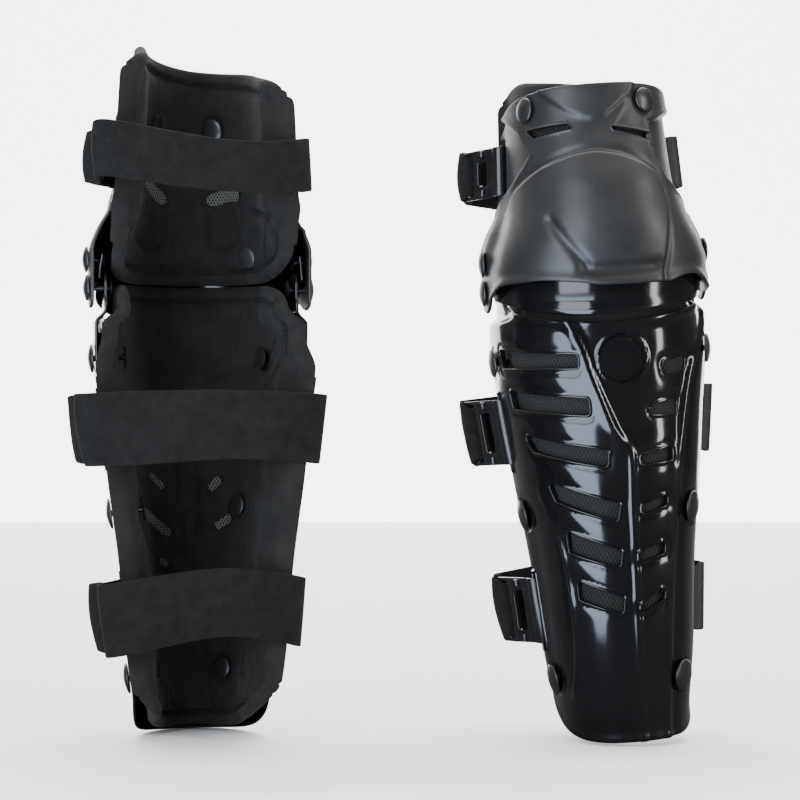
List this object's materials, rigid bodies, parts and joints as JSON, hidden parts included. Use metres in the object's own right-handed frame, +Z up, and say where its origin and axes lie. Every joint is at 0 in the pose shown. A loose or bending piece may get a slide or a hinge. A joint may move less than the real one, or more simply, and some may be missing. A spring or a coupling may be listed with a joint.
{
  "type": "motorcycle knee guards",
  "caption": "Pair of hinged black plastic knee and shin guards with vented shells, padded liners, riveted ear pivots and elastic hook-buckle straps.",
  "frame": {"origin": "middle of the pair's bounding box at its lowest point", "axes": "+Z up the legs, -Y the way the right guard faces (the left guard faces the other way), +X from the left guard towards the right guard"},
  "size_m": [0.4653, 0.2034, 0.4931],
  "materials": {
    "gloss_black_plastic": "glossy moulded",
    "satin_grey_plastic": "satin moulded",
    "rivet_plastic": "satin",
    "buckle_plastic": "satin moulded",
    "badge_plastic": "glossy, blank",
    "pad_fabric": "matte knitted cover over foam",
    "vent_mesh": "open honeycomb mesh",
    "elastic_strap": "ribbed elastic webbing"
  },
  "bodies": {
    "right_shin": {"right_shin_shell": "gloss_black_plastic", "right_shin_mesh": "vent_mesh", "right_shin_pad": "pad_fabric", "right_badge": "badge_plastic", "right_shin_rivet_top_outer": "rivet_plastic", "right_shin_rivet_top_inner": "rivet_plastic", "right_shin_rivet_middle_outer": "rivet_plastic", "right_shin_rivet_middle_inner": "rivet_plastic", "right_shin_rivet_bottom_outer": "rivet_plastic", "right_shin_rivet_bottom_inner": "rivet_plastic", "right_pivot_rivet_outer": "rivet_plastic", "right_pivot_rivet_inner": "rivet_plastic", "right_middle_strap": "elastic_strap", "right_lower_strap": "elastic_strap"},
    "right_knee": {"right_knee_shell": "satin_grey_plastic", "right_knee_pad": "pad_fabric", "right_knee_mesh": "vent_mesh", "right_upper_strap": "elastic_strap", "right_thigh_rivet_outer": "rivet_plastic", "right_thigh_rivet_inner": "rivet_plastic", "right_guide_rivet_outer": "rivet_plastic", "right_guide_rivet_inner": "rivet_plastic"},
    "right_band": {"right_knee_band": "gloss_black_plastic"},
    "right_upper_buckle": {"right_upper_buckle": "buckle_plastic"},
    "right_middle_buckle": {"right_middle_buckle": "buckle_plastic"},
    "right_lower_buckle": {"right_lower_buckle": "buckle_plastic"},
    "left_shin": {"left_shin_shell": "gloss_black_plastic", "left_shin_mesh": "vent_mesh", "left_shin_pad": "pad_fabric", "left_badge": "badge_plastic", "left_shin_rivet_top_outer": "rivet_plastic", "left_shin_rivet_top_inner": "rivet_plastic", "left_shin_rivet_middle_outer": "rivet_plastic", "left_shin_rivet_middle_inner": "rivet_plastic", "left_shin_rivet_bottom_outer": "rivet_plastic", "left_shin_rivet_bottom_inner": "rivet_plastic", "left_pivot_rivet_outer": "rivet_plastic", "left_pivot_rivet_inner": "rivet_plastic", "left_middle_strap": "elastic_strap", "left_lower_strap": "elastic_strap"},
    "left_knee": {"left_knee_shell": "satin_grey_plastic", "left_knee_pad": "pad_fabric", "left_knee_mesh": "vent_mesh", "left_upper_strap": "elastic_strap", "left_thigh_rivet_outer": "rivet_plastic", "left_thigh_rivet_inner": "rivet_plastic", "left_guide_rivet_outer": "rivet_plastic", "left_guide_rivet_inner": "rivet_plastic"},
    "left_band": {"left_knee_band": "gloss_black_plastic"},
    "left_upper_buckle": {"left_upper_buckle": "buckle_plastic"},
    "left_middle_buckle": {"left_middle_buckle": "buckle_plastic"},
    "left_lower_buckle": {"left_lower_buckle": "buckle_plastic"}
  },
  "joints": [
    {"name": "right_knee_flex", "type": "hinge", "parent": "right_shin", "child": "right_knee", "pos_m": [0.14182, 0.00236, 0.32926], "axis": [-0.9936, -0.0872, -0.0712], "range_deg": [0, 60]},
    {"name": "right_band_follow", "type": "hinge", "parent": "right_shin", "child": "right_band", "pos_m": [0.14182, 0.00236, 0.32926], "axis": [-0.9936, -0.0872, -0.0712], "range_deg": [0, 30]},
    {"name": "right_upper_buckle_swing", "type": "hinge", "parent": "right_knee", "child": "right_upper_buckle", "pos_m": [0.07397, 0.00926, 0.41362], "axis": [-0.0243, 0.0041, 0.9997], "range_deg": [-15, 30], "deforming": ["right_upper_strap"]},
    {"name": "right_middle_buckle_swing", "type": "hinge", "parent": "right_shin", "child": "right_middle_buckle", "pos_m": [0.07832, 0.00844, 0.22244], "axis": [-0.1862, -0.0101, 0.9825], "range_deg": [-15, 30], "deforming": ["right_middle_strap"]},
    {"name": "right_lower_buckle_swing", "type": "hinge", "parent": "right_shin", "child": "right_lower_buckle", "pos_m": [0.10229, 0.00972, 0.09182], "axis": [-0.1504, -0.0069, 0.9886], "range_deg": [-15, 30], "deforming": ["right_lower_strap"]},
    {"name": "left_knee_flex", "type": "hinge", "parent": "left_shin", "child": "left_knee", "pos_m": [-0.1461, -0.00211, 0.327], "axis": [0.9724, 0.2334, 0], "range_deg": [0, 60]},
    {"name": "left_band_follow", "type": "hinge", "parent": "left_shin", "child": "left_band", "pos_m": [-0.1461, -0.00211, 0.327], "axis": [0.9724, 0.2334, 0], "range_deg": [0, 30]},
    {"name": "left_upper_buckle_swing", "type": "hinge", "parent": "left_knee", "child": "left_upper_buckle", "pos_m": [-0.20237, -0.02822, 0.416], "axis": [-0.0461, -0.0111, -0.9989], "range_deg": [-15, 30], "deforming": ["left_upper_strap"]},
    {"name": "left_middle_buckle_swing", "type": "hinge", "parent": "left_shin", "child": "left_middle_buckle", "pos_m": [-0.21149, -0.03041, 0.225], "axis": [0.1127, 0.0271, -0.9933], "range_deg": [-15, 30], "deforming": ["left_middle_strap"]},
    {"name": "left_lower_buckle_swing", "type": "hinge", "parent": "left_shin", "child": "left_lower_buckle", "pos_m": [-0.19726, -0.027, 0.093], "axis": [0.0774, 0.0186, -0.9968], "range_deg": [-15, 30], "deforming": ["left_lower_strap"]},
    {"name": "left_guard_shift", "type": "slide", "parent": "right_shin", "child": "left_shin", "axis": [1, 0, 0], "range_m": [-0.15, 0]}
  ],
  "couplings": [
    {"joint": "right_band_follow", "follows": "right_knee_flex", "ratio": 0.5},
    {"joint": "left_band_follow", "follows": "left_knee_flex", "ratio": 0.5}
  ]
}
